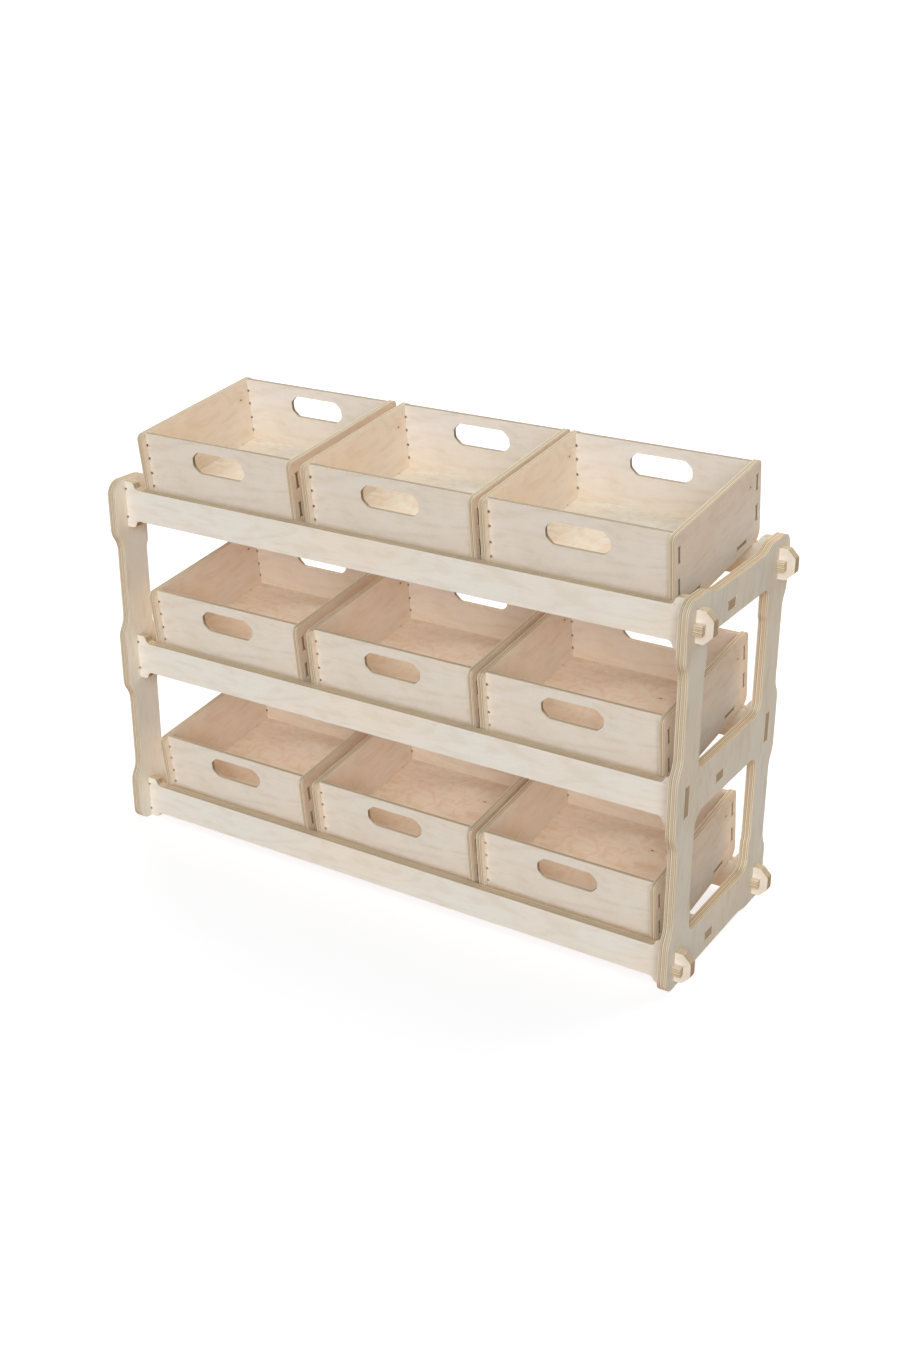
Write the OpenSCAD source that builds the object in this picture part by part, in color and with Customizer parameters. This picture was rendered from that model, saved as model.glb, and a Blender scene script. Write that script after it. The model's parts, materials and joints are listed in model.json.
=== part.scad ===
// Low plywood shelf rack with nine lift-out boxes. The rack is sized from its boxes.
// Two ladder-shaped end panels carry three rows of rails. The top and bottom
// front and rear rails reach through the panels and are drawn tight by wedges.
// Each row has a front rail, a lower flat centre rail and a rear rail, so a box
// that rests on the centre and rear rails leans towards the front.
// X runs along the rack, Y from front to back, and Z up from the floor.
// The origin is on the floor, at the middle of the rack.

/* [Main sizes] */
// Length of a box along the rack
box_w = 298; // [250:1:360]
// Length of a box's side walls, front to back
box_d = 284.5; // [260:0.5:320]
// Height of a box
box_h = 123; // [112:1:160]
// Thickness of the plywood in the rack
board_t = 15; // [14:0.5:16]
// Gap between an end panel and the box beside it
side_gap = 25; // [20:0.5:26]
// Mean gap between neighbouring boxes
box_gap = 13; // [9:0.5:20]
// Shift of the middle boxes to the right of the rack's middle
middle_shift = 4.8; // [-8:0.2:8]
// Depth of the end panels beyond the length of a box's side walls
panel_over = 65.5; // [62:0.5:80]
// Distance from one row of rails to the next beyond the height of a box
row_over = 139.5; // [136:0.5:150]

/* [End panels] */
// Rise of the upper corners above the top rails
panel_rise = 15; // [14:0.5:40]
// Depth of the hollows in the front and rear edges
waist = 12; // [6:0.5:14]
// Half the height of the swelling in the edge at each rail
swell_half = 36.5; // [34:0.5:42]
// Height of the S-curve that leads out of a swelling
swell_run = 39; // [30:1:48]
// Radius of the upper outer corners
ear_r = 23; // [10:1:24]
// Radius of the lower outer corners
foot_r = 21; // [10:1:26]
// Rise of the top corners above the top crossbar
crown = 10.5; // [6:0.5:14]
// Half the length of the straight middle of the top edge
crown_half = 76; // [50:1:80]
// Length of the S-curve that rises to a top corner
crown_run = 42; // [30:1:46]
// Rise of the arch between the two feet
arch = 6; // [3:0.5:8]
// Width of a leg beside a window's wide end, measured from the swellings
leg_w = 64.5; // [64:0.5:72]
// How much each leg widens at a window's narrow end
window_neck = 4; // [2:0.5:6]
// Height of the narrow end of a window
neck_h = 42; // [30:1:60]
// Height of the curve that leads into the narrow end
neck_run = 16; // [10:1:30]
// Corner radius of the windows
window_r = 18; // [8:1:24]
// Radius at the upper corners of the lower window
window_big_r = 26; // [10:1:34]
// Top of the low crossbar above the low rails
low_bar_rise = 9; // [6:0.5:14]
// Top of the middle crossbar above the middle rails
mid_bar_rise = 11.5; // [6:0.5:14]
// Bottom of the middle crossbar below the middle rails
mid_bar_drop = 6.5; // [4:0.5:10]
// Bottom of the top crossbar below the top rails
top_bar_drop = 0.5; // [0.5:0.5:6]

/* [Front and rear rails] */
// Height of the lower edge of the low rails above the floor
rail_z = 9; // [8:0.5:12]
// Height of a front or rear rail
rail_h = 51; // [46:0.5:54]
// Height of a rail's tenon, whose upper edge is level with the rail's
tenon_h = 47.5; // [44:0.5:50]
// Distance of a rail's outer face behind the widest edge of the end panel
rail_inset = 25.5; // [20:0.5:28]
// Height of the ear at each corner of a rail
ear_h = 12; // [6:0.5:14]
// Length of the level part of an ear
ear_flat = 10; // [6:0.5:12]
// Length of the nose that a wedged tenon shows outside the panel
nose = 25; // [22:0.5:34]
// Size of the corners cut off a nose
nose_cut = 13; // [8:0.5:14]
// Radius that softens the corners of a nose
nose_r = 5; // [2:0.5:6]

/* [Centre rails] */
// Width of a centre rail
centre_w = 50; // [46:0.5:56]
// Distance of the centre rail's middle in front of the rack's middle
centre_y = 30; // [24:0.5:34]
// Drop of the centre rail's top below the tops of the other rails
centre_drop = 24; // [20:0.5:28]
// Width of a centre rail's tenon
centre_tenon = 25.5; // [20:0.5:30]

/* [Wedges] */
// Width of a wedge halfway along it
wedge_w = 13; // [11:0.5:14]
// Difference in width between the head and the tip of a wedge
wedge_taper = 2; // [1:0.25:3]
// Length that a wedge stands proud of the rail at each end
wedge_proud = 8; // [4:0.5:12]
// Size of the bevel round both ends of a wedge
wedge_bevel = 1; // [0.5:0.25:2]

/* [Boxes] */
// Thickness of the plywood in a box
box_t = 9; // [8:0.25:10]
// Set-back of the front and back walls from the ends of the side walls
wall_inset = 9; // [7:0.5:12]
// Radius of the upper corners of a side wall
side_top_r = 9; // [4:0.5:12]
// Radius of the lower corners of a side wall
side_low_r = 15; // [8:0.5:18]
// Height of the floor's underside above a box's lower edge
floor_z = 9; // [7:0.5:12]
// Height of a tongue on the front and back walls
tongue_h = 23.5; // [20:0.5:26]
// Height of the lower tongue above a box's lower edge
low_tongue_z = 33; // [30:0.5:36]
// Height of the upper tongue above a box's lower edge
high_tongue_z = 80; // [76:0.5:84]
// Length of a tab on the floor
tab_l = 32.5; // [24:0.5:36]
// Distance of a tab from the end of the side wall
tab_inset = 47.5; // [40:0.5:60]
// Length of a hand hole
hand_l = 100; // [90:1:110]
// Height of a hand hole
hand_h = 36; // [30:1:38]
// Distance of a hand hole's upper edge below the top of the wall
hand_top = 16; // [12:0.5:20]
// Size of the corners cut off a hand hole
hand_cut = 11; // [8:0.5:13]
// Radius that softens the corners of a hand hole
hand_r = 9; // [4:0.5:10]

/* [Fits] */
// Clearance on each side of a tenon, tongue or wedge
fit = 0.1; // [0.05:0.05:0.2]
// Distance by which flush tenons and tongues stop short of the surface
end_inset = 0.5; // [0.25:0.25:1]
// Radius of the cutter's relief at the inner corners of a joint
relief_r = 2.2; // [1.2:0.2:2.4]
// Distance of a relief's centre inside its corner
relief_step = 0.7; // [0.5:0.1:1]
// Gap between a box and the rails that it rests on
seat_gap = 0.3; // [0.2:0.05:0.4]
// Gap between a box's front edges and the top of the front rail's ears
front_gap = 2; // [1:0.25:4]

/* [Hidden] */
$fn = 64;

// Rows and columns
BOTTOM = 0;
MIDDLE = BOTTOM + 1;
TOP = MIDDLE + 1;
LEFT = 0;
CENTRE = LEFT + 1;
RIGHT = CENTRE + 1;

// Overlap of shapes that are drawn together as one piece
lap = 1;

// The rack around three rows of three boxes
rack_w = 3 * box_w + 2 * box_gap + 2 * side_gap + 2 * board_t;
rack_d = box_d + panel_over;
row_pitch = box_h + row_over;

// Faces of the end panels and the rails
panel_out = rack_w / 2;
panel_in = panel_out - board_t;
rail_out = rack_d / 2 - rail_inset;
rail_in = rail_out - board_t;
centre_front = -centre_y - centre_w / 2;
ear_run = side_gap - ear_flat;

// Heights of each row
function rail_bottom(row) = rail_z + row * row_pitch;
function rail_top(row) = rail_bottom(row) + rail_h;
function tenon_bottom(row) = rail_top(row) - tenon_h;
function rail_centre(row) = rail_bottom(row) + rail_h / 2;
function centre_top(row) = rail_top(row) - centre_drop;

// Height, crossbars and windows of the end panels
panel_h = rail_top(TOP) + panel_rise;
window_w = rack_d - 2 * leg_w;
top_edge = panel_h - crown;
low_bar_top = rail_top(BOTTOM) + low_bar_rise;
mid_bar_bottom = rail_bottom(MIDDLE) - mid_bar_drop;
mid_bar_top = rail_top(MIDDLE) + mid_bar_rise;
top_bar_bottom = rail_bottom(TOP) - top_bar_drop;

// Slope of a box that lies on the centre rail and the rear rail
slope = centre_drop / (rail_in - centre_front);
tilt = atan(slope);
seat_rise = seat_gap / cos(tilt);

// Front lower corner of a box: its front edges clear the front rail's ears
ear_over_centre = centre_drop + ear_h - seat_rise;
box_y = (front_gap - rail_in + slope * (ear_over_centre + slope * centre_front)) / (1 + slope * slope);
function box_z(row) = centre_top(row) + (box_y - centre_front) * slope + seat_rise;
function box_x(col) =
    col == LEFT ? -panel_in + side_gap :
    col == RIGHT ? panel_in - side_gap - box_w :
    middle_shift - box_w / 2;

// Inner faces of a box's walls
front_wall = wall_inset;
back_wall = box_d - wall_inset - box_t;
inner_d = back_wall - front_wall - box_t;
inner_w = box_w - 2 * box_t;
hand_z = box_h - hand_top - hand_h / 2;

panel_colour = [0.83, 0.77, 0.66];
rail_colour = [0.89, 0.84, 0.74];
centre_colour = [0.84, 0.75, 0.62];
wedge_colour = [0.86, 0.79, 0.66];
wall_colour = [0.90, 0.85, 0.77];
side_colour = [0.86, 0.78, 0.66];
floor_colour = [0.88, 0.80, 0.67];

// A flat drawing in X and Z, made as thick as t towards the back from y
module upright_along(y, t) {
    translate([0, y + t, 0])
        rotate([90, 0, 0])
            linear_extrude(t) children();
}

// A flat drawing in Y and Z, made as thick as t towards the right from x
module upright_across(x, t) {
    translate([x, 0, 0])
        rotate([90, 0, 90])
            linear_extrude(t) children();
}

// Both the drawing and its mirror image about the vertical axis
module both_sides() {
    children();
    mirror([1, 0, 0]) children();
}

// Area below an S-curve of two equal arcs that falls from rise to 0 over run.
// It reaches a little below 0, into the shape that carries it.
module s_curve(run, rise) {
    r = (run * run + rise * rise) / (4 * rise);
    intersection() {
        translate([0, -lap]) square([run / 2, rise + lap]);
        translate([0, rise - r]) circle(r);
    }
    difference() {
        translate([run / 2, -lap]) square([run / 2, rise / 2 + lap]);
        translate([run, r]) circle(r);
    }
}

// The same area turned to lie beside a vertical edge, narrowing upwards
module s_curve_up(run, rise) {
    mirror([1, -1, 0]) s_curve(run, rise);
}

// Direction from one point to another, as a unit vector
function heading(a, b) = (b - a) / norm(b - a);

// Distance along an edge from corner i to where its arc of radius r begins
function arc_start(pts, i, r) =
    let (n = len(pts), p = pts[i])
    let (a = heading(p, pts[(i + n - 1) % n]), b = heading(p, pts[(i + 1) % n]))
    r / tan(acos(a * b) / 2);

// The point or the two points that an outline passes at corner i
function corner(pts, i, r) =
    r == 0 ? [pts[i]] :
    let (n = len(pts), p = pts[i], s = arc_start(pts, i, r))
    [p + heading(p, pts[(i + n - 1) % n]) * s, p + heading(p, pts[(i + 1) % n]) * s];

// Centre of the arc of radius r that rounds corner i
function arc_centre(pts, i, r) =
    let (n = len(pts), p = pts[i])
    let (a = heading(p, pts[(i + n - 1) % n]), b = heading(p, pts[(i + 1) % n]))
    p + heading([0, 0], a + b) * r / sin(acos(a * b) / 2);

// A convex outline with a true arc of its own radius at each corner
module rounded(pts, radii) {
    polygon([for (i = [0:len(pts) - 1]) each corner(pts, i, radii[i])]);
    for (i = [0:len(pts) - 1])
        if (radii[i] > 0)
            translate(arc_centre(pts, i, radii[i])) circle(radii[i]);
}

// A rectangle with a radius at each corner, from the lower left one round
module rounded_box(x0, z0, x1, z1, radii) {
    rounded([[x0, z0], [x1, z0], [x1, z1], [x0, z1]], radii);
}

// The cutter's relief holes at the corners of a rectangle
module reliefs(x0, z0, x1, z1) {
    for (x = [x0 + relief_step, x1 - relief_step])
        for (z = [z0 + relief_step, z1 - relief_step])
            translate([x, z]) circle(relief_r);
}

// A rectangular mortise with its clearance and its relieved corners
module mortise(x0, z0, x1, z1) {
    translate([x0 - fit, z0 - fit]) square([x1 - x0 + 2 * fit, z1 - z0 + 2 * fit]);
    reliefs(x0 - fit, z0 - fit, x1 + fit, z1 + fit);
}

// Swelling of the end panel's edge around the middle row of rails
module middle_swelling() {
    x = rack_d / 2 - waist;
    z = rail_centre(MIDDLE);
    translate([x - lap, z - swell_half]) square([waist + lap, 2 * swell_half]);
    translate([x, z + swell_half]) s_curve_up(swell_run, waist);
    translate([x, z - swell_half]) mirror([0, 1, 0]) s_curve_up(swell_run, waist);
}

// Foot of the end panel with its rounded outer corner
module foot() {
    x = rack_d / 2 - waist;
    z = rail_centre(BOTTOM) + swell_half;
    inner = x - foot_r;
    rounded_box(inner, 0, rack_d / 2, z, [0, foot_r, 0, 0]);
    translate([x, z]) s_curve_up(swell_run, waist);
}

// Raised upper corner of the end panel
module crown_ear() {
    x = rack_d / 2 - waist;
    z = rail_centre(TOP) - swell_half;
    inner = crown_half + crown_run;
    rounded_box(inner, z, rack_d / 2, panel_h, [0, 0, ear_r, 0]);
    translate([x, z]) mirror([0, 1, 0]) s_curve_up(swell_run, waist);
    translate([inner, top_edge]) mirror([1, 0, 0]) s_curve(crown_run, crown);
}

// Outline of the end panel without its openings
module panel_outline() {
    core = rack_d / 2 - waist;
    difference() {
        union() {
            translate([-core, foot_r]) square([2 * core, top_edge - foot_r - ear_r]);
            translate([foot_r - core, 0]) square([2 * core - 2 * foot_r, top_edge]);
            both_sides() {
                foot();
                middle_swelling();
                crown_ear();
            }
        }
        arch_cut();
    }
}

// Shallow arch below the low crossbar
module arch_cut() {
    translate([-crown_half, -lap]) square([2 * crown_half, arch + lap]);
    both_sides() {
        translate([crown_half, 0]) s_curve(crown_run, arch);
        translate([crown_half - lap, -lap]) square([crown_run + lap, lap]);
    }
}

// One window, h high, with its narrow end upwards
module window(h, wide_r, neck_r) {
    wide = window_w / 2;
    narrow = wide - window_neck;
    bend = h - neck_h;
    rounded_box(-wide, 0, wide, bend - neck_run, [wide_r, wide_r, 0, 0]);
    rounded_box(-narrow, bend - neck_run - lap, narrow, h, [0, 0, neck_r, neck_r]);
    both_sides()
        translate([narrow, bend - neck_run]) s_curve_up(neck_run, window_neck);
}

module windows() {
    translate([0, mid_bar_top])
        window(top_bar_bottom - mid_bar_top, window_r, window_r);
    translate([0, mid_bar_bottom])
        mirror([0, 1, 0])
            window(mid_bar_bottom - low_bar_top, window_big_r, window_r);
}

// Mortises of the nine rails, in Y and Z
module panel_mortises() {
    for (row = [BOTTOM, MIDDLE, TOP]) {
        both_sides()
            mortise(rail_in, tenon_bottom(row), rail_out, rail_top(row));
        mortise(-centre_y - centre_tenon / 2, centre_top(row) - board_t,
            -centre_y + centre_tenon / 2, centre_top(row));
    }
}

module end_panel(x) {
    color(panel_colour)
        upright_across(x, board_t)
            difference() {
                panel_outline();
                windows();
                panel_mortises();
            }
}

module end_panel_left() {
    end_panel(-panel_out);
}

module end_panel_right() {
    end_panel(panel_in);
}

// Ear at the right end of a rail, h high, on an edge at z = 0
module rail_ear(h) {
    translate([panel_in - ear_flat, -lap]) square([ear_flat, h + lap]);
    translate([panel_in - ear_flat, 0]) mirror([1, 0, 0]) s_curve(ear_run, h);
}

// Tenon that ends in a nose outside the panel
module nose_tenon(row) {
    z0 = tenon_bottom(row);
    z1 = rail_top(row);
    x0 = panel_in - lap;
    x1 = panel_out + nose;
    rounded(
        [
            [x0, z0], [x1 - nose_cut, z0], [x1, z0 + nose_cut],
            [x1, z1 - nose_cut], [x1 - nose_cut, z1], [x0, z1]
        ],
        [0, nose_r, nose_r, nose_r, nose_r, 0]
    );
}

// Tenon that ends flush with the panel
module flush_tenon(row) {
    translate([panel_in - lap, tenon_bottom(row)])
        square([board_t + lap - end_inset, tenon_h]);
}

// Outline of a front or rear rail, in X and Z
module rail_outline(row, wedged) {
    low_ear = row == BOTTOM ? min(ear_h, rail_z) : ear_h;
    difference() {
        union() {
            translate([-panel_in, rail_bottom(row)]) square([2 * panel_in, rail_h]);
            both_sides() {
                translate([0, rail_top(row)]) rail_ear(ear_h);
                translate([0, rail_bottom(row)]) mirror([0, 1, 0]) rail_ear(low_ear);
                if (wedged) nose_tenon(row);
                else flush_tenon(row);
            }
        }
        both_sides()
            for (z = [tenon_bottom(row) + relief_step, rail_top(row) - relief_step])
                translate([panel_in - relief_step, z]) circle(relief_r);
    }
}

// Plan of a wedge at the right end of the front rail, grown by a clearance
module wedge_plan(grow) {
    head = -rail_out - wedge_proud;
    tip = -rail_in + wedge_proud;
    half = wedge_taper / 2;
    polygon([
        [panel_out, head], [panel_out + wedge_w + half + grow, head],
        [panel_out + wedge_w - half + grow, tip], [panel_out, tip]
    ]);
}

// Both wedge slots of a front rail
module wedge_slots(row) {
    for (side = [0, 1])
        mirror([side, 0, 0])
            translate([0, 0, rail_centre(row) - board_t / 2 - fit])
                linear_extrude(board_t + 2 * fit) wedge_plan(fit);
}

module front_rail(row, wedged) {
    color(rail_colour)
        difference() {
            upright_along(-rail_out, board_t) rail_outline(row, wedged);
            if (wedged) wedge_slots(row);
        }
}

// The rear rail is the front rail turned round
module rear_rail(row, wedged) {
    mirror([0, 1, 0]) front_rail(row, wedged);
}

module front_rail_top() {
    front_rail(TOP, true);
}

module front_rail_middle() {
    front_rail(MIDDLE, false);
}

module front_rail_bottom() {
    front_rail(BOTTOM, true);
}

module rear_rail_top() {
    rear_rail(TOP, true);
}

module rear_rail_middle() {
    rear_rail(MIDDLE, false);
}

module rear_rail_bottom() {
    rear_rail(BOTTOM, true);
}

// Flat rail below the boxes, with a shouldered tenon at each end
module centre_rail(row) {
    length = 2 * (panel_out - end_inset);
    color(centre_colour)
        translate([0, -centre_y, centre_top(row) - board_t])
            linear_extrude(board_t)
                difference() {
                    union() {
                        square([2 * panel_in, centre_w], center = true);
                        square([length, centre_tenon], center = true);
                    }
                    both_sides()
                        for (y = [-1, 1])
                            translate([panel_in - relief_step, y * (centre_tenon / 2 - relief_step)])
                                circle(relief_r);
                }
}

module centre_rail_top() {
    centre_rail(TOP);
}

module centre_rail_middle() {
    centre_rail(MIDDLE);
}

module centre_rail_bottom() {
    centre_rail(BOTTOM);
}

// One wedge at the right end of a front rail, with bevelled ends
module wedge(row) {
    head = -rail_out - wedge_proud;
    tip = -rail_in + wedge_proud;
    b = wedge_bevel;
    z0 = -board_t / 2;
    z1 = board_t / 2;
    intersection() {
        translate([0, 0, rail_centre(row) + z0]) linear_extrude(board_t) wedge_plan(0);
        translate([panel_out - lap, 0, rail_centre(row)])
            rotate([90, 0, 90])
                linear_extrude(2 * board_t)
                    polygon([
                        [head, z0 + b], [head + b, z0], [tip - b, z0], [tip, z0 + b],
                        [tip, z1 - b], [tip - b, z1], [head + b, z1], [head, z1 - b]
                    ]);
    }
}

// Eight wedges: both ends of the top and bottom front and rear rails
module wedges() {
    color(wedge_colour)
        for (row = [BOTTOM, TOP])
            for (side = [0, 1])
                for (rear = [0, 1])
                    mirror([side, 0, 0])
                        mirror([0, rear, 0])
                            wedge(row);
}

// Moves a piece from the box's own frame to its place on the rails.
// In that frame x is the length, y runs from front to back and z is square
// to the floor, with the front lower left corner at the origin.
module in_box(row, col) {
    translate([box_x(col), box_y, box_z(row)])
        rotate([tilt, 0, 0])
            children();
}

// Side wall with slots for the wall tongues and the floor tabs
module box_side(x) {
    color(side_colour)
        upright_across(x, box_t)
            difference() {
                rounded_box(0, 0, box_d, box_h,
                    [side_low_r, side_low_r, side_top_r, side_top_r]);
                for (y = [front_wall, back_wall])
                    for (z = [low_tongue_z, high_tongue_z])
                        mortise(y, z, y + box_t, z + tongue_h);
                for (y = [tab_inset, box_d - tab_inset - tab_l])
                    mortise(y, floor_z, y + tab_l, floor_z + box_t);
            }
}

// Outline of a hand hole about its own centre
module hand_hole() {
    x = hand_l / 2;
    z = hand_h / 2;
    rounded(
        [
            [-x, hand_cut - z], [hand_cut - x, -z], [x - hand_cut, -z], [x, hand_cut - z],
            [x, z - hand_cut], [x - hand_cut, z], [hand_cut - x, z], [-x, z - hand_cut]
        ],
        [for (i = [1:8]) hand_r]
    );
}

// Front or back wall with two tongues at each end and a hand hole
module box_wall(y) {
    color(wall_colour)
        upright_along(y, box_t)
            difference() {
                union() {
                    translate([box_t, 0]) square([inner_w, box_h]);
                    for (z = [low_tongue_z, high_tongue_z])
                        translate([end_inset, z]) square([box_w - 2 * end_inset, tongue_h]);
                }
                for (z = [low_tongue_z, high_tongue_z])
                    reliefs(box_t, z, box_w - box_t, z + tongue_h);
                translate([box_w / 2, hand_z]) hand_hole();
            }
}

// Floor between the four walls, with two tabs through each side wall
module box_floor() {
    color(floor_colour)
        translate([0, 0, floor_z])
            linear_extrude(box_t)
                union() {
                    translate([box_t, front_wall + box_t + fit])
                        square([inner_w, inner_d - 2 * fit]);
                    for (y = [tab_inset, box_d - tab_inset - tab_l])
                        translate([end_inset, y]) square([box_w - 2 * end_inset, tab_l]);
                }
}

module box_front(row, col) {
    in_box(row, col) box_wall(front_wall);
}

module box_back(row, col) {
    in_box(row, col) box_wall(back_wall);
}

module box_left_side(row, col) {
    in_box(row, col) box_side(0);
}

module box_right_side(row, col) {
    in_box(row, col) box_side(box_w - box_t);
}

module box_bottom(row, col) {
    in_box(row, col) box_floor();
}

end_panel_left();
end_panel_right();
front_rail_top();
front_rail_middle();
front_rail_bottom();
rear_rail_top();
rear_rail_middle();
rear_rail_bottom();
centre_rail_top();
centre_rail_middle();
centre_rail_bottom();
wedges();
box_front(TOP, LEFT);  // top_left_box_front
box_back(TOP, LEFT);  // top_left_box_back
box_left_side(TOP, LEFT);  // top_left_box_left_side
box_right_side(TOP, LEFT);  // top_left_box_right_side
box_bottom(TOP, LEFT);  // top_left_box_floor
box_front(TOP, CENTRE);  // top_centre_box_front
box_back(TOP, CENTRE);  // top_centre_box_back
box_left_side(TOP, CENTRE);  // top_centre_box_left_side
box_right_side(TOP, CENTRE);  // top_centre_box_right_side
box_bottom(TOP, CENTRE);  // top_centre_box_floor
box_front(TOP, RIGHT);  // top_right_box_front
box_back(TOP, RIGHT);  // top_right_box_back
box_left_side(TOP, RIGHT);  // top_right_box_left_side
box_right_side(TOP, RIGHT);  // top_right_box_right_side
box_bottom(TOP, RIGHT);  // top_right_box_floor
box_front(MIDDLE, LEFT);  // middle_left_box_front
box_back(MIDDLE, LEFT);  // middle_left_box_back
box_left_side(MIDDLE, LEFT);  // middle_left_box_left_side
box_right_side(MIDDLE, LEFT);  // middle_left_box_right_side
box_bottom(MIDDLE, LEFT);  // middle_left_box_floor
box_front(MIDDLE, CENTRE);  // middle_centre_box_front
box_back(MIDDLE, CENTRE);  // middle_centre_box_back
box_left_side(MIDDLE, CENTRE);  // middle_centre_box_left_side
box_right_side(MIDDLE, CENTRE);  // middle_centre_box_right_side
box_bottom(MIDDLE, CENTRE);  // middle_centre_box_floor
box_front(MIDDLE, RIGHT);  // middle_right_box_front
box_back(MIDDLE, RIGHT);  // middle_right_box_back
box_left_side(MIDDLE, RIGHT);  // middle_right_box_left_side
box_right_side(MIDDLE, RIGHT);  // middle_right_box_right_side
box_bottom(MIDDLE, RIGHT);  // middle_right_box_floor
box_front(BOTTOM, LEFT);  // bottom_left_box_front
box_back(BOTTOM, LEFT);  // bottom_left_box_back
box_left_side(BOTTOM, LEFT);  // bottom_left_box_left_side
box_right_side(BOTTOM, LEFT);  // bottom_left_box_right_side
box_bottom(BOTTOM, LEFT);  // bottom_left_box_floor
box_front(BOTTOM, CENTRE);  // bottom_centre_box_front
box_back(BOTTOM, CENTRE);  // bottom_centre_box_back
box_left_side(BOTTOM, CENTRE);  // bottom_centre_box_left_side
box_right_side(BOTTOM, CENTRE);  // bottom_centre_box_right_side
box_bottom(BOTTOM, CENTRE);  // bottom_centre_box_floor
box_front(BOTTOM, RIGHT);  // bottom_right_box_front
box_back(BOTTOM, RIGHT);  // bottom_right_box_back
box_left_side(BOTTOM, RIGHT);  // bottom_right_box_left_side
box_right_side(BOTTOM, RIGHT);  // bottom_right_box_right_side
box_bottom(BOTTOM, RIGHT);  // bottom_right_box_floor
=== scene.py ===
import json
import math

import bmesh
import bpy
from mathutils import Euler, Matrix, Vector


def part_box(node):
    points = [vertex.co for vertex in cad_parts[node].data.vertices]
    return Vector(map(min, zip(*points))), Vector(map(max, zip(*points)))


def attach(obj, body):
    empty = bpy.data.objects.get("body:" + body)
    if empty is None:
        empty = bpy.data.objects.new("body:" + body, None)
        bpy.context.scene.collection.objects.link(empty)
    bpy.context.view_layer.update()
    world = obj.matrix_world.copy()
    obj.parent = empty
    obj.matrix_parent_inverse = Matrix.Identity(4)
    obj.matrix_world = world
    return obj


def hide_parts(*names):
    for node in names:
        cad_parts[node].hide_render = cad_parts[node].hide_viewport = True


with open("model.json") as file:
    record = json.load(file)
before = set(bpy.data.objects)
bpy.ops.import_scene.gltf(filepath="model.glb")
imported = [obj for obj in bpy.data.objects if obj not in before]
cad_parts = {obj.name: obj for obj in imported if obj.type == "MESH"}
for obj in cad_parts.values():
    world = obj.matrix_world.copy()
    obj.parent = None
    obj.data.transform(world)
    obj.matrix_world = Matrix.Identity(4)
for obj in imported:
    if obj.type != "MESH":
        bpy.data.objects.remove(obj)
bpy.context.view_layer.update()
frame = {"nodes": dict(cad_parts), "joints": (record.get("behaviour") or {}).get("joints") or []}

NODES = frame["nodes"]
BOXES = [joint["child"] for joint in frame["joints"]]
X, Y, Z = Vector((1, 0, 0)), Vector((0, 1, 0)), Vector((0, 0, 1))
WHITE = (1.0, 1.0, 1.0)

# Camera, as the photograph was taken: pixels, metres and degrees
PHOTO_HIGH = 1350
FOCAL_PIXELS = 1686.5
CAMERA_PLACE = (1.3118, -2.0486, 1.3890)
CAMERA_DOWN = 23.726
CAMERA_PAN = 32.083
SENSOR_MM = 36.0

# Light from afar: degrees, and shares of the brightness of a white wall. An
# azimuth is 0 in front of the rack and 90 on its right. The sky's two colours
# meet at the horizon, and the camera sees a white backdrop instead of them.
SUNS = {
    "high_light": {
        "azimuth": 23, "elevation": 33, "width": 38, "strength": 0.44, "colour": (0.80, 0.98, 1.00),
    },
    "low_light": {
        "azimuth": 22, "elevation": 15, "width": 52, "strength": 0.49, "colour": (0.80, 0.99, 1.38),
    },
    "back_light": {
        "azimuth": 190, "elevation": 36, "width": 75, "strength": 1.05, "colour": WHITE,
    },
}
SUN_DISTANCE = 3
SKY_ABOVE = (0.09, 0.11, 0.13)
GLOW_BELOW = (0.38, 0.25, 0.13)
HORIZON = (-0.05, 0.05)
BACKDROP = WHITE

# Floor
FLOOR_HALF = 60.0
FLOOR_PAINT = (0.45, 0.40, 0.37)
FLOOR_ROUGHNESS = 0.9
FLOOR_GLOW = 0.74

# Boards: number of plies, softened edges in metres, angles in degrees
RACK_PLIES = 11
SIDE_PLIES = 7
THIN_PLIES = 5
EDGE_SOFTNESS = 0.0005
EDGE_SEGMENTS = 2
SHARP_ANGLE = 30
FLAT_ANGLE = 1
WELD_DISTANCE = 0.00001

# How much further the heads of the wedges stand out than the CAD ones
WEDGE_HEAD_EXTRA = 0.0025

# How much thinner the boxes' floors, fronts and backs are than the CAD ones,
# how far from a board's face the reliefs of its joint reach, and how much of a
# side wall's height its round corners take
THINNER = 0.003
RELIEF_REACH = 0.00285
CORNER = 0.010

# Linear colours of the veneers and of the cut edges; the panels' and boxes' veneers also hold
# painted light and shade
# Painted light and shade: the left panel's veneer is lighter and the right panel's darker, after
# how much light falls on their faces
PANEL_LIT_AND_SHADED_VENEERS = {"left": (0.965, 0.875, 0.725), "right": (0.770, 0.688, 0.555)}
RAIL_VENEER = (0.885, 0.750, 0.600)
WEDGE_VENEER = (0.900, 0.740, 0.570)
# Painted light and shade: each board of a box has its own lightness after how much light falls on
# it, the fronts and right sides darker, the backs, left sides and floors lighter
BOX_LIT_AND_SHADED_VENEERS = {
    "front": (0.850, 0.710, 0.557),
    "back": (0.940, 0.775, 0.595),
    "left_side": (0.950, 0.790, 0.620),
    "right_side": (0.840, 0.705, 0.560),
    "floor": (0.955, 0.795, 0.630),
}
# Painted light: a box's right side that faces the next box is warmer and a little lighter, as light
# thrown between the boxes would make it
NEXT_TO_BOX_WARM_LIT_VENEER = (0.910, 0.715, 0.520)
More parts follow.
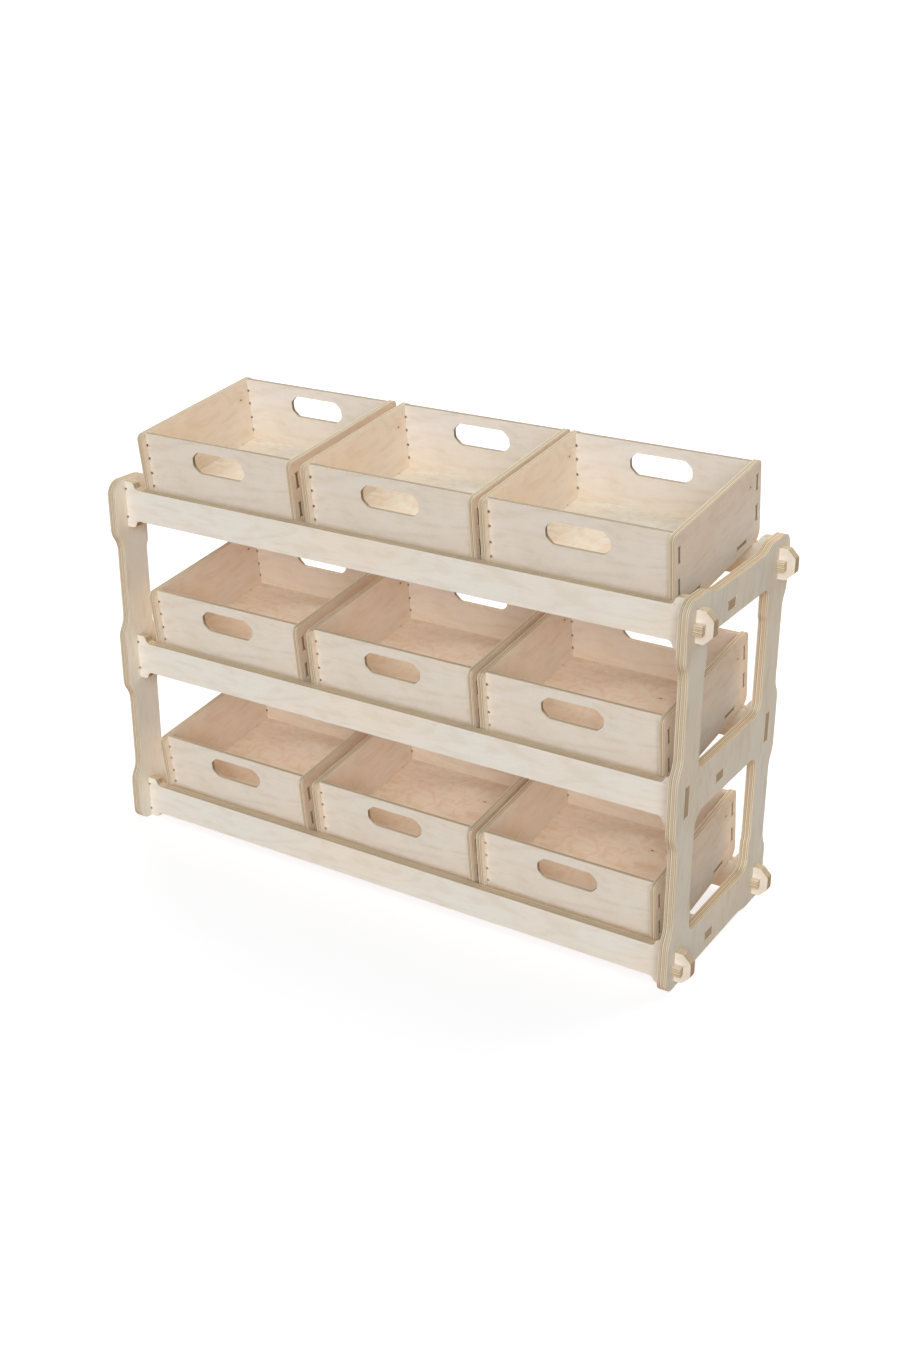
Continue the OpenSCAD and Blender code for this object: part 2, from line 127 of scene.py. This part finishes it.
# Painted light and shade in the top row: its fronts and backs are darker and its floors lighter
# than the same boards in the rows below
TOP_ROW_LIT_AND_SHADED_VENEERS = {
    "front": (0.828, 0.688, 0.538),
    "back": (0.815, 0.692, 0.566),
    "floor": (0.990, 0.878, 0.728),
}
EDGE_LIGHT = (0.93, 0.74, 0.53)
EDGE_DARK = (0.64, 0.45, 0.26)
GLUE = (0.26, 0.17, 0.09)
KNOT = (0.20, 0.11, 0.06)

# What end grain takes away from the cut edge's colour. On the tongues it is darker still: painted
# shade of the slot gaps round their ends
PALE_END = (0.96, 0.94, 0.91)
DARK_END = (0.74, 0.68, 0.60)
TONGUE_END_AND_SLOT_SHADE = (0.60, 0.54, 0.46)

# Painted shade: what the cut edges of the fronts and backs lose in brightness in the top row, and
# none elsewhere
NO_EDGE_SHADE = WHITE
TOP_ROW_EDGE_SHADE = (0.72, 0.71, 0.72)

# Knots on the sides and floors: how far along and across the board
KNOT_SIZE = 0.0017
SIDE_KNOT = (0.247, 0.0935)
FLOOR_KNOT = (0.190, 0.1935)
FAR_AWAY = (9.0, 9.0, 9.0)

# Strength of the curly figure
WALL_CURL = 0.12
FLOOR_CURL = 0.6

# Wrapping that starts the plies anew in each row of boards above each other
NO_WRAP = 50.0
ROW_MARGIN = 0.001

# Noises of the wood: waves a metre along the grain, across it and into the
# board, then detail and, where it isn't a half, roughness
HILLS = ((3.2, 10.0, 22.0), 1.0)
RIPPLE = ((28.0, 130.0, 60.0), 2.0)
MOTTLE = ((17.0, 52.0, 20.0), 3.0, 0.6)
STREAKS = ((34.0, 280.0, 60.0), 2.0)
FIBRES = ((14.0, 900.0, 60.0), 2.0)
FLECKS = ((85.0, 1500.0, 90.0), 1.0)
TINT = ((3.4, 8.0, 25.0), 1.0)
BEND = ((30.0, 34.0, 20.0), 2.0)
CURLS = ((75.0, 42.0, 20.0), 2.0, 0.6)
SWAY = ((22.0, 22.0, 0.0), 1.0)
LAYERS = ((3.0, 3.0, 1100.0), 2.0)
SPECKS = ((1300.0, 1300.0, 1300.0), 1.0)
NOISE_MEAN = 0.5

# Growth rings are contours of slow hills, which ripples and knots push about;
# curls lie where their noise is bent along the grain, in metres
RING_WAVES = 95.0
RIPPLE_PUSH = 0.03
KNOT_PUSH = 0.10
CURL_BEND = 0.05

# A knot is longer along the grain. In knot sizes from its middle: where its
# pull on the figure fades, and where its dark core ends
KNOT_SHAPE = (0.6, 1.0, 1.0)
KNOT_PULL = (0.0, 9.0, 1.0, 0.0)
KNOT_CORE = (0.55, 1.05, 1.0, 0.0)

# Stains of the wood: the value of a noise where they start, the one where they
# are whole, how strong they then are, and the colour that multiplies the wood's
TINT_STAIN = (0.36, 0.64, 1.0, (1.025, 0.970, 0.915))
CURL_STAIN = (0.42, 0.66, 1.0, (0.93, 0.81, 0.71))
RING_STAIN = (-0.2, 1.0, 0.6, (0.93, 0.89, 0.83))
MOTTLE_STAIN = (0.32, 0.68, 1.0, (0.975, 0.968, 0.960))
STREAK_STAIN = (0.52, 0.75, 0.5, (0.94, 0.91, 0.86))
FIBRE_STAIN = (0.35, 0.75, 0.3, (0.92, 0.89, 0.84))
FLECK_STAIN = (0.67, 0.78, 0.4, (0.68, 0.55, 0.42))
KNOT_STAIN = (0.45, 0.95, 0.3, (0.86, 0.70, 0.54))
PLY_STAIN = (0.55, 0.85, 1.0, (0.80, 0.76, 0.70))
LAYER_STAIN = (0.35, 0.68, 0.5, (0.82, 0.76, 0.68))
SPECK_STAIN = (0.50, 0.75, 0.7, (0.55, 0.46, 0.36))
RUBBED = (0.84, 0.76, 0.64)

# Steps of the wood: the values between which they rise, then their own values
# where these aren't 0 and 1
RING_MOTTLE = (0.35, 0.62)
CROSS_PLY = (0.38, 0.62)
GLUE_LINE = (0.38, 0.48)
END_FACING = (0.55, 0.85)
FACE_FACING = (0.55, 0.80)
RIM_OUTSIDE = (0.15, 0.50)
RIM_INSIDE = (0.80, 0.98, 1.0, 0.0)
RUB_MOTTLE = (0.35, 0.65, 0.1, 0.6)
FACE_ROUGHNESS = (0.30, 0.75, 0.50, 0.64)
EDGE_ROUGHNESS = 0.80

# Plies: how far they sway, in metres, half a ply, and how much the glue shows
PLY_SWAY = 0.0007
HALF_PLY = 0.5
GLUE_STRENGTH = 0.45

# Relief: shares of its height, its height in metres and its strength
FIBRE_HEIGHT = 0.5
FLECK_HEIGHT = -0.5
LAYER_HEIGHT = 0.8
GLUE_HEIGHT = -0.7
BUMP_DISTANCE = 0.0002
BUMP_STRENGTH = 0.35
SPECULAR = 0.35

PLYWOOD_INPUTS = {
    "Place": "NodeSocketVector",
    "Facing": "NodeSocketVector",
    "Ply": "NodeSocketFloat",
    "Veneer And Shade": "NodeSocketColor",
    "End": "NodeSocketColor",
    "Edge Shade": "NodeSocketColor",
    "Knot": "NodeSocketVector",
    "Knot Size": "NodeSocketFloat",
    "Curl": "NodeSocketFloat",
}
PLYWOOD_OUTPUTS = {
    "Colour": "NodeSocketColor",
    "Roughness": "NodeSocketFloat",
    "Height": "NodeSocketFloat",
}


class Tree:
    """Adds nodes to a shader tree and links them."""

    def __init__(self, tree):
        self.tree = tree

    def add(self, kind, inputs=None, **settings):
        node = self.tree.nodes.new(kind)
        for name, value in settings.items():
            setattr(node, name, value)
        for name, value in (inputs or {}).items():
            self.feed(node.inputs[name], value)
        return node

    def feed(self, socket, value):
        if isinstance(value, bpy.types.NodeSocket):
            self.tree.links.new(value, socket)
        else:
            socket.default_value = value

    def math(self, operation, a, b=0.0):
        return self.add("ShaderNodeMath", {0: a, 1: b}, operation=operation).outputs[0]

    def vector(self, operation, *values, output="Vector"):
        inputs = dict(enumerate(values))
        return self.add("ShaderNodeVectorMath", inputs, operation=operation).outputs[output]

    def part(self, vector, axis):
        """The vector's X, Y or Z."""
        return self.add("ShaderNodeSeparateXYZ", {0: vector}).outputs[axis]

    def ramp(self, value, low, high, out_low=0.0, out_high=1.0):
        """A smooth step of value from low to high."""
        limits = {"From Min": low, "From Max": high, "To Min": out_low, "To Max": out_high}
        node = self.add(
            "ShaderNodeMapRange", {"Value": value, **limits}, interpolation_type="SMOOTHSTEP")
        return node.outputs["Result"]

    def noise(self, vector, waves, detail, roughness=0.5):
        """Noise from 0 to 1, with its own waves along each axis of the board."""
        place = self.vector("MULTIPLY", vector, waves)
        settings = {"Scale": 1.0, "Detail": detail, "Roughness": roughness}
        return self.add("ShaderNodeTexNoise", {"Vector": place, **settings}).outputs["Fac"]

    def mix(self, factor, a, b):
        """A number between a and b."""
        return self.add("ShaderNodeMix", {"Factor": factor, "A": a, "B": b}).outputs[0]

    def blend(self, factor, a, b, mode="MIX"):
        """A colour between a and b, or between a and a times b."""
        node = self.add("ShaderNodeMix", data_type="RGBA", blend_type=mode)
        for name, value in (("Factor_Float", factor), ("A_Color", a), ("B_Color", b)):
            socket = next(s for s in node.inputs if s.identifier == name)
            if isinstance(value, tuple):
                value = (*value, 1.0)
            self.feed(socket, value)
        return next(s for s in node.outputs if s.identifier == "Result_Color")

    def stain(self, colour, value, spec, share=None):
        """The colour with a stain where the value is high, or a share of it."""
        low, high, strength, shade = spec
        amount = self.ramp(value, low, high, 0.0, strength)
        if share is not None:
            amount = self.math("MULTIPLY", amount, share)
        return self.blend(amount, colour, shade, "MULTIPLY")


def knot_marks(t, given):
    """How strongly the knot draws the figure round itself, and its core."""
    apart = t.vector("SUBTRACT", given["Place"], given["Knot"])
    away = t.vector("LENGTH", t.vector("MULTIPLY", apart, KNOT_SHAPE), output="Value")
    away = t.math("DIVIDE", away, given["Knot Size"])
    return t.ramp(away, *KNOT_PULL), t.ramp(away, *KNOT_CORE)


def veneer_colour(t, given, mottle, fibres, flecks):
    """Colour of a face: rings, curls, flame-like mottle, streaks, fibres, flecks and a knot."""
    place = given["Place"]
    pull, core = knot_marks(t, given)
    hills = t.math("ADD", t.noise(place, *HILLS), t.math("MULTIPLY", pull, KNOT_PUSH))
    hills = t.math("ADD", hills, t.math("MULTIPLY", t.noise(place, *RIPPLE), RIPPLE_PUSH))
    rings = t.math("SINE", t.math("MULTIPLY", hills, RING_WAVES))
    bend = t.math("MULTIPLY", t.noise(place, *BEND), CURL_BEND)
    bent = t.vector("ADD", place, t.add("ShaderNodeCombineXYZ", {"X": bend}).outputs[0])
    colour = t.stain(given["Veneer And Shade"], t.noise(place, *TINT), TINT_STAIN)
    colour = t.stain(colour, t.noise(bent, *CURLS), CURL_STAIN, given["Curl"])
    colour = t.stain(colour, rings, RING_STAIN, t.ramp(mottle, *RING_MOTTLE))
    colour = t.stain(colour, mottle, MOTTLE_STAIN)
    colour = t.stain(colour, t.noise(place, *STREAKS), STREAK_STAIN)
    colour = t.stain(colour, fibres, FIBRE_STAIN)
    colour = t.stain(colour, flecks, FLECK_STAIN)
    colour = t.stain(colour, pull, KNOT_STAIN)
    return t.blend(core, colour, KNOT)


def ply_marks(t, given):
    """How far into the board, in plies, which plies run across, and the glue lines."""
    sway = t.math("SUBTRACT", t.noise(given["Place"], *SWAY), NOISE_MEAN)
    depth = t.math("ADD", t.part(given["Place"], "Z"), t.math("MULTIPLY", sway, PLY_SWAY))
    plies = t.math("DIVIDE", depth, given["Ply"])
    across = t.math("PINGPONG", t.math("SUBTRACT", plies, HALF_PLY), 1.0)
    from_middle = t.math("ABSOLUTE", t.math("SUBTRACT", t.math("FRACT", plies), HALF_PLY))
    return plies, t.ramp(across, *CROSS_PLY), t.ramp(from_middle, *GLUE_LINE)


def edge_colour(t, given, to_end, plies, across, glue, layers):
    """Colour of a cut edge: plies of alternate grain with glue between them."""
    ply = t.add("ShaderNodeTexWhiteNoise", {"W": t.math("FLOOR", plies)}, noise_dimensions="1D")
    colour = t.blend(across, EDGE_LIGHT, EDGE_DARK)
    colour = t.stain(colour, ply.outputs["Value"], PLY_STAIN)
    colour = t.stain(colour, layers, LAYER_STAIN)
    colour = t.stain(colour, t.noise(given["Place"], *SPECKS), SPECK_STAIN, across)
    colour = t.blend(t.math("MULTIPLY", glue, GLUE_STRENGTH), colour, GLUE)
    # End grain darkens the ends; on the tongues this darkening also holds painted shade of the slot
    # gaps
    colour = t.blend(t.ramp(to_end, *END_FACING), colour, given["End"], "MULTIPLY")
    # This last colour is painted shade on the top row's cut edges
    return t.blend(1.0, colour, given["Edge Shade"], "MULTIPLY")


def plywood_group():
    """Birch plywood in a board's frame: X along the grain, Y across it, Z into the board."""
    group = bpy.data.node_groups.new("birch_plywood", "ShaderNodeTree")
    for name, kind in PLYWOOD_INPUTS.items():
        group.interface.new_socket(name, in_out="INPUT", socket_type=kind)
    for name, kind in PLYWOOD_OUTPUTS.items():
        group.interface.new_socket(name, in_out="OUTPUT", socket_type=kind)
    t = Tree(group)
    given = t.add("NodeGroupInput").outputs
    place = given["Place"]
    to_face = t.math("ABSOLUTE", t.part(given["Facing"], "Z"))
    to_end = t.math("ABSOLUTE", t.part(given["Facing"], "X"))
    face = t.ramp(to_face, *FACE_FACING)
    mottle = t.noise(place, *MOTTLE)
    fibres = t.noise(place, *FIBRES)
    flecks = t.noise(place, *FLECKS)
    layers = t.noise(place, *LAYERS)
    plies, across, glue = ply_marks(t, given)
    veneer_and_shade = veneer_colour(t, given, mottle, fibres, flecks)
    edge = edge_colour(t, given, to_end, plies, across, glue, layers)
    colour = t.blend(face, edge, veneer_and_shade)

    # Where hands rub the rim it is a little darker
    rim = t.math("MULTIPLY", t.ramp(to_face, *RIM_OUTSIDE), t.ramp(to_face, *RIM_INSIDE))
    rubbed = t.math("MULTIPLY", rim, t.ramp(mottle, *RUB_MOTTLE))
    colour = t.blend(rubbed, colour, RUBBED, "MULTIPLY")

    fibre_relief = t.math("MULTIPLY", fibres, FIBRE_HEIGHT)
    fleck_relief = t.math("MULTIPLY", flecks, FLECK_HEIGHT)
    layer_relief = t.math("MULTIPLY", layers, LAYER_HEIGHT)
    glue_relief = t.math("MULTIPLY", glue, GLUE_HEIGHT)
    face_height = t.math("ADD", fibre_relief, fleck_relief)
    edge_height = t.math("ADD", layer_relief, glue_relief)
    out = t.add("NodeGroupOutput").inputs
    t.feed(out["Colour"], colour)
    t.feed(out["Roughness"], t.mix(face, EDGE_ROUGHNESS, t.ramp(mottle, *FACE_ROUGHNESS)))
    t.feed(out["Height"], t.mix(face, edge_height, face_height))
    return group


PLYWOOD = plywood_group()


def board_axes(grain, depth):
    """Rotation from the shared frame to a board's own frame of grain, width and depth."""
    return Matrix((grain, depth.cross(grain), depth))


def restart_plies(t, place, pitch):
    """The place in a board, with its depth starting anew in each row above the lowest."""
    margin = (0.0, 0.0, ROW_MARGIN)
    top, bottom = (NO_WRAP, NO_WRAP, pitch), (-NO_WRAP, -NO_WRAP, 0.0)
    wrapped = t.vector("WRAP", t.vector("ADD", place, margin), top, bottom)
    return t.vector("SUBTRACT", wrapped, margin)


def board_material(name, mesh, grain, depth, plies, veneer_and_shade, end, edge, knot, curl, pitch):
    """Plywood for the board that has this mesh, laid out from the board's own corner."""
    turn = board_axes(grain, depth)
    points = [turn @ v.co for v in mesh.vertices]
    low = Vector(min(p[i] for p in points) for i in range(3))
    thick = max(p[2] for p in points) - low[2]
    material = bpy.data.materials.new(name)
    material.use_nodes = True
    tree = material.node_tree
    tree.nodes.clear()
    t = Tree(tree)
    where = t.add("ShaderNodeTexCoord").outputs
    angles = turn.to_euler()
    place = t.add("ShaderNodeMapping", {
        "Vector": where["Object"], "Rotation": angles, "Location": -low,
    }, vector_type="POINT").outputs[0]
    if pitch:
        thick -= pitch * math.floor(thick / pitch)
        place = restart_plies(t, place, pitch)
    facing = t.add("ShaderNodeMapping", {
        "Vector": where["Normal"], "Rotation": angles,
    }, vector_type="VECTOR").outputs[0]
    wood = t.add("ShaderNodeGroup", node_tree=PLYWOOD)
    for socket, value in {
        "Place": place,
        "Facing": facing,
        "Ply": thick / plies,
        "Veneer And Shade": (*veneer_and_shade, 1.0),
        "End": (*end, 1.0),
        "Edge Shade": (*edge, 1.0),
        "Knot": (*knot, thick) if knot else FAR_AWAY,
        "Knot Size": KNOT_SIZE,
        "Curl": curl,
    }.items():
        t.feed(wood.inputs[socket], value)
    bump = t.add("ShaderNodeBump", {
        "Height": wood.outputs["Height"], "Strength": BUMP_STRENGTH, "Distance": BUMP_DISTANCE,
    })
    shader = t.add("ShaderNodeBsdfPrincipled", {
        "Base Color": wood.outputs["Colour"],
        "Roughness": wood.outputs["Roughness"],
        "Normal": bump.outputs[0],
        "Specular IOR Level": SPECULAR,
    })
    t.add("ShaderNodeOutputMaterial", {"Surface": shader.outputs[0]})
    return material


def soften(piece):
    """Rounds the sharp edges a little, as sanding does."""
    weld = piece.modifiers.new("weld", "WELD")
    weld.merge_threshold = WELD_DISTANCE
    bevel = piece.modifiers.new("soft_edges", "BEVEL")
    bevel.width = EDGE_SOFTNESS
    bevel.segments = EDGE_SEGMENTS
    bevel.limit_method = "ANGLE"
    bevel.angle_limit = math.radians(SHARP_ANGLE)
    bevel.harden_normals = True


def dress(name, grain, depth, plies, veneer_and_shade, end=PALE_END, edge=NO_EDGE_SHADE, knot=None, curl=0.0,
          pitch=None, piece=None):
    """Gives a node, or the piece that replaces it, its plywood and soft edges."""
    piece = piece or NODES[name]
    piece.data.materials.clear()
    piece.data.materials.append(board_material(
        name + "_plywood", piece.data, grain, depth, plies, veneer_and_shade, end, edge, knot, curl, pitch))
    soften(piece)


def stand_in(name, body, mesh):
    """A piece that shows this mesh where the node of this name is."""
    mesh.name = name + "_board"
    piece = bpy.data.objects.new(mesh.name, mesh)
    bpy.context.scene.collection.objects.link(piece)
    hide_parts(name)
    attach(piece, body)
    return piece


def make_wedges():
    """The CAD wedges with heads that stand further out of the noses, as in the photograph."""
    mesh = NODES["wedges"].data.copy()
    rail_face = -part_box("front_rail_top")[0][1]
    for vertex in mesh.vertices:
        if abs(vertex.co.y) > rail_face:
            vertex.co.y += math.copysign(WEDGE_HEAD_EXTRA, vertex.co.y)
    return stand_in("wedges", "rack", mesh)


def lift_axis():
    """The boxes' own upward direction, which leans towards the front."""
    return Vector(frame["joints"][0]["axis"]).normalized()


def reach(name, axis):
    """The lowest and highest place of a node along an axis."""
    places = [v.co @ axis for v in NODES[name].data.vertices]
    return min(places), max(places)


def thin_out(shape, box, part, up, back):
    """Moves the points of a box's board to where the thinner boards have their faces."""
    walls = [reach(box + "_" + wall, back) for wall in ("front", "back")]
    floor_under, floor_top = reach(box + "_floor", up)
    box_top = reach(box + "_front", up)[1]
    for vertex in shape.verts:
        depth, height = vertex.co @ back, vertex.co @ up
        if abs(height - floor_under) < RELIEF_REACH and walls[0][0] < depth < walls[1][1]:
            vertex.co += THINNER * up
        # The side walls' round corners stay, above and below their slots
        if part.endswith("side") and not floor_top + CORNER < height < box_top - CORNER:
            continue
        for front_face, back_face in walls:
            if abs(depth - front_face) < RELIEF_REACH:
                vertex.co += THINNER / 2 * back
            elif abs(depth - back_face) < RELIEF_REACH:
                vertex.co -= THINNER / 2 * back


def make_thin(box, part, up, back):
    """A box's board, thinned as in the photograph, or with its slots narrowed to match."""
    mesh = NODES[box + "_" + part].data.copy()
    shape = bmesh.new()
    shape.from_mesh(mesh)
    bmesh.ops.remove_doubles(shape, verts=shape.verts, dist=WELD_DISTANCE)
    bmesh.ops.dissolve_limit(
        shape, angle_limit=math.radians(FLAT_ANGLE), verts=shape.verts, edges=shape.edges)
    thin_out(shape, box, part, up, back)
    for face in shape.faces:
        face.smooth = True
    shape.to_mesh(mesh)
    shape.free()
    # The copied normals belong to the faces before they moved
    if "custom_normal" in mesh.attributes:
        mesh.attributes.remove(mesh.attributes["custom_normal"])
    mesh.set_sharp_from_angle(angle=math.radians(SHARP_ANGLE))
    return stand_in(box + "_" + part, box, mesh)


def dress_rack():
    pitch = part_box("front_rail_top")[1][2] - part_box("front_rail_bottom")[1][2]
    for side in ("left", "right"):
        dress("end_panel_" + side, Z, X, RACK_PLIES, PANEL_LIT_AND_SHADED_VENEERS[side])
    for height in ("top", "middle", "bottom"):
        dress("front_rail_" + height, X, Y, RACK_PLIES, RAIL_VENEER, DARK_END)
        dress("rear_rail_" + height, X, Y, RACK_PLIES, RAIL_VENEER, DARK_END)
        dress("centre_rail_" + height, X, Z, RACK_PLIES, RAIL_VENEER, DARK_END)
    dress("wedges", Y, Z, RACK_PLIES, WEDGE_VENEER, pitch=pitch, piece=make_wedges())


def dress_box(box):
    up = lift_axis()
    back = up.cross(X)
    row, column = box.split("_")[:2]
    # These veneers hold painted light and shade: by board, by row, and on a side next to another
    # box
    shaded_veneers = {**BOX_LIT_AND_SHADED_VENEERS, **(TOP_ROW_LIT_AND_SHADED_VENEERS if row == "top" else {})}
    # Painted light between the boxes, on a right side that faces the next box
    if column != "right":
        shaded_veneers["right_side"] = NEXT_TO_BOX_WARM_LIT_VENEER
    boards = {part: make_thin(box, part, up, back) for part in shaded_veneers}
    # Painted shade on the cut edges of the top row's fronts and backs
    edge = TOP_ROW_EDGE_SHADE if row == "top" else NO_EDGE_SHADE
    # The fronts' and backs' tongue ends carry painted shade of the slot gaps
    for part in ("front", "back"):
        dress(box + "_" + part, X, back, THIN_PLIES, shaded_veneers[part], TONGUE_END_AND_SLOT_SHADE, edge,
              curl=WALL_CURL, piece=boards[part])
    for part in ("left_side", "right_side"):
        dress(box + "_" + part, back, X, SIDE_PLIES, shaded_veneers[part],
              knot=SIDE_KNOT, curl=WALL_CURL, piece=boards[part])
    # The floor's tabs carry the same painted shade of the slot gaps at their ends
    dress(box + "_floor", X, up, THIN_PLIES, shaded_veneers["floor"], TONGUE_END_AND_SLOT_SHADE,
          knot=FLOOR_KNOT, curl=FLOOR_CURL, piece=boards["floor"])


def make_camera():
    """The photograph's camera. The photograph's height is the sensor's longer side."""
    data = bpy.data.cameras.new("camera")
    data.sensor_width = SENSOR_MM
    data.lens = SENSOR_MM * FOCAL_PIXELS / PHOTO_HIGH
    camera = bpy.data.objects.new("camera", data)
    camera.location = CAMERA_PLACE
    camera.rotation_euler = Euler((math.radians(90 - CAMERA_DOWN), 0, math.radians(CAMERA_PAN)))
    bpy.context.scene.collection.objects.link(camera)
    bpy.context.scene.camera = camera


def make_floor():
    """A plain pale floor, wide enough to fill the view."""
    corners = [(-1, -1), (1, -1), (1, 1), (-1, 1)]
    mesh = bpy.data.meshes.new("floor")
    mesh.from_pydata([(x * FLOOR_HALF, y * FLOOR_HALF, 0) for x, y in corners], [], [(0, 1, 2, 3)])
    floor = bpy.data.objects.new("floor", mesh)
    bpy.context.scene.collection.objects.link(floor)
    material = bpy.data.materials.new("floor_paint")
    material.use_nodes = True
    shader = material.node_tree.nodes["Principled BSDF"]
    shader.inputs["Base Color"].default_value = (*FLOOR_PAINT, 1.0)
    shader.inputs["Roughness"].default_value = FLOOR_ROUGHNESS
    shader.inputs["Specular IOR Level"].default_value = 0.0
    shader.inputs["Emission Color"].default_value = (*WHITE, 1.0)
    shader.inputs["Emission Strength"].default_value = FLOOR_GLOW
    floor.data.materials.append(material)
    floor.visible_diffuse = False


def soft_sun(name, azimuth, elevation, width, strength, colour):
    """Even soft light from afar."""
    data = bpy.data.lights.new(name, "SUN")
    data.angle = math.radians(width)
    data.energy = math.pi * strength
    data.color = colour
    light = bpy.data.objects.new(name, data)
    turn, rise = math.radians(azimuth), math.radians(elevation)
    ahead, side = -math.cos(turn) * math.cos(rise), math.sin(turn) * math.cos(rise)
    source = Vector((side, ahead, math.sin(rise)))
    light.rotation_euler = source.to_track_quat("Z", "Y").to_euler()
    light.location = SUN_DISTANCE * source
    bpy.context.scene.collection.objects.link(light)


def make_light():
    """Soft lights from the front and the back, and warm light thrown up by the ground."""
    world = bpy.data.worlds.new("studio")
    world.use_nodes = True
    t = Tree(world.node_tree)
    direction = t.add("ShaderNodeTexCoord").outputs["Generated"]
    colour = t.blend(t.ramp(t.part(direction, "Z"), *HORIZON), GLOW_BELOW, SKY_ABOVE)
    seen = t.add("ShaderNodeLightPath").outputs["Is Camera Ray"]
    background = world.node_tree.nodes["Background"]
    t.feed(background.inputs["Color"], t.blend(seen, colour, BACKDROP))
    bpy.context.scene.world = world
    for name, sun in SUNS.items():
        soft_sun(name, **sun)


def set_view():
    """Shows the light as it is, with no film curve."""
    view = bpy.context.scene.view_settings
    view.view_transform = "Standard"
    view.look = "None"


make_camera()
set_view()
dress_rack()
for box_name in BOXES:
    dress_box(box_name)
make_floor()
make_light()
